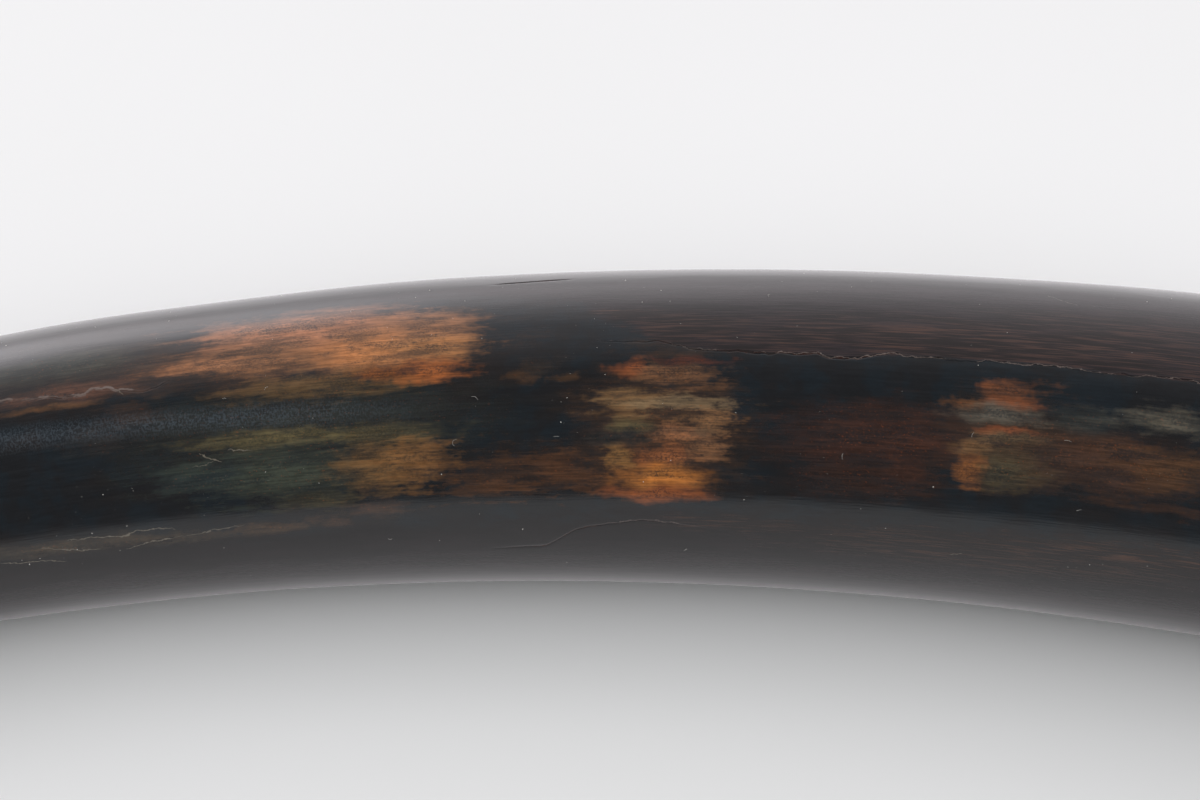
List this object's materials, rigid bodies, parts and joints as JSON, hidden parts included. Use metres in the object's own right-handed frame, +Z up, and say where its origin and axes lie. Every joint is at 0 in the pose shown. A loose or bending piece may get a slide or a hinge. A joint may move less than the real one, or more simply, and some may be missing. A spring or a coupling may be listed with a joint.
{
  "type": "mammoth tusk",
  "caption": "Dark, polished, curled mammoth tusk of stained fossil ivory, lying on its side, sawn flat at the butt with an open pulp hollow and a worn blunt tip",
  "frame": {"origin": "middle of the footprint, on the surface that the tusk lies on", "axes": "+Z up; +X is the way that the sawn butt face looks; the tusk runs from the butt towards -X and curls round to -Y"},
  "size_m": [0.9104, 0.9144, 0.0902],
  "materials": {
    "tusk": "polished"
  },
  "bodies": {
    "root": {"tusk": "tusk"}
  },
  "joints": []
}
